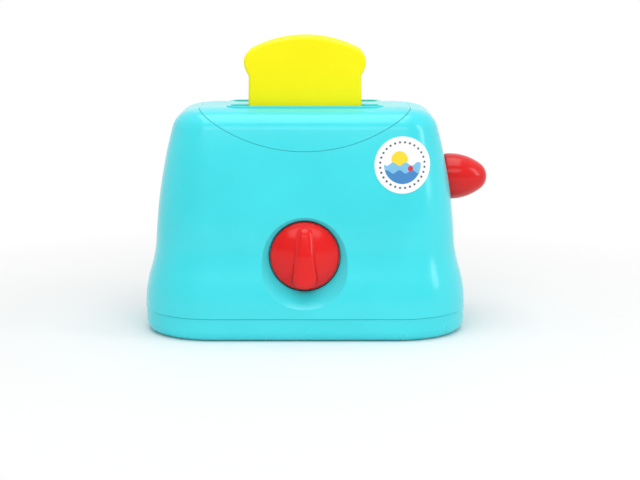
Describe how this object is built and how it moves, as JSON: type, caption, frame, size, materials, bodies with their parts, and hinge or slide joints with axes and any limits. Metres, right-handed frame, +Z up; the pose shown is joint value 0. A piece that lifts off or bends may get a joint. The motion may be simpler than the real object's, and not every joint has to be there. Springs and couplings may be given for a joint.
{
  "type": "toy toaster",
  "caption": "Toy pop-up toaster with a flared rounded body, two slots with toy slices, a side lever, a wind-up dial and a round label.",
  "frame": {"origin": "on the table under the middle of the body, on the flat underside of the base pan", "axes": "+Z up, the front with the dial faces -Y, the lever is on the +X side"},
  "size_m": [0.1965, 0.112, 0.1665],
  "materials": {
    "body_shell": "glossy moulded plastic",
    "top_cover": "glossy moulded plastic",
    "base_pan": "glossy moulded plastic",
    "foot": "matt rubber",
    "round_label": "printed film label",
    "toast_guide": "moulded plastic",
    "carriage": "moulded plastic",
    "lever_knob": "glossy moulded plastic",
    "dial_knob": "glossy moulded plastic",
    "toast": "glossy moulded plastic",
    "timer_case": "moulded plastic",
    "latch_parts": "moulded plastic",
    "latch_bracket": "moulded plastic",
    "screws": "zinc-plated steel",
    "guide_rods": "bright steel",
    "lift_springs": "spring steel"
  },
  "bodies": {
    "housing": {"body_shell": "body_shell", "top_cover": "top_cover", "base_pan": "base_pan", "foot_1": "foot", "foot_2": "foot", "foot_3": "foot", "foot_4": "foot", "base_screws": "screws", "round_label": "round_label", "toast_guide": "toast_guide", "cover_screws": "screws", "guide_rod_front": "guide_rods", "guide_rod_rear": "guide_rods", "lift_spring_front": "lift_springs", "lift_spring_rear": "lift_springs", "timer_case": "timer_case", "timer_screws": "screws", "latch_bracket": "latch_bracket"},
    "carriage": {"carriage": "carriage", "lever_knob": "lever_knob", "lever_screw": "screws"},
    "slice_front": {"toast_front": "toast"},
    "slice_rear": {"toast_rear": "toast"},
    "dial": {"dial_knob": "dial_knob", "dial_arbor": "screws", "snail_cam": "latch_parts"},
    "latch": {"latch_arm": "latch_parts"}
  },
  "joints": [
    {"name": "carriage_slide", "type": "slide", "parent": "housing", "child": "carriage", "axis": [0, 0, 1], "range_m": [-0.042, 0], "stiffness_N_per_m": 80, "springref_m": 0.035, "deforming": ["lift_spring_front", "lift_spring_rear"]},
    {"name": "slice_front_lift", "type": "slide", "parent": "carriage", "child": "slice_front", "axis": [0, 0, 1], "range_m": [0, 0.06]},
    {"name": "slice_rear_lift", "type": "slide", "parent": "carriage", "child": "slice_rear", "axis": [0, 0, 1], "range_m": [0, 0.06]},
    {"name": "dial_turn", "type": "hinge", "parent": "housing", "child": "dial", "pos_m": [0, -0.0425, 0.047], "axis": [0, 1, 0], "range_deg": [0, 270], "stiffness_Nm_per_rad": 0.003, "springref_deg": -34.38},
    {"name": "latch_pivot", "type": "hinge", "parent": "housing", "child": "latch", "pos_m": [0.042, -0.0263, 0.024], "axis": [0, 1, 0], "range_deg": [0, 5.25]}
  ],
  "couplings": [
    {"joint": "latch_pivot", "follows": "dial_turn", "ratio": 0.019259}
  ]
}
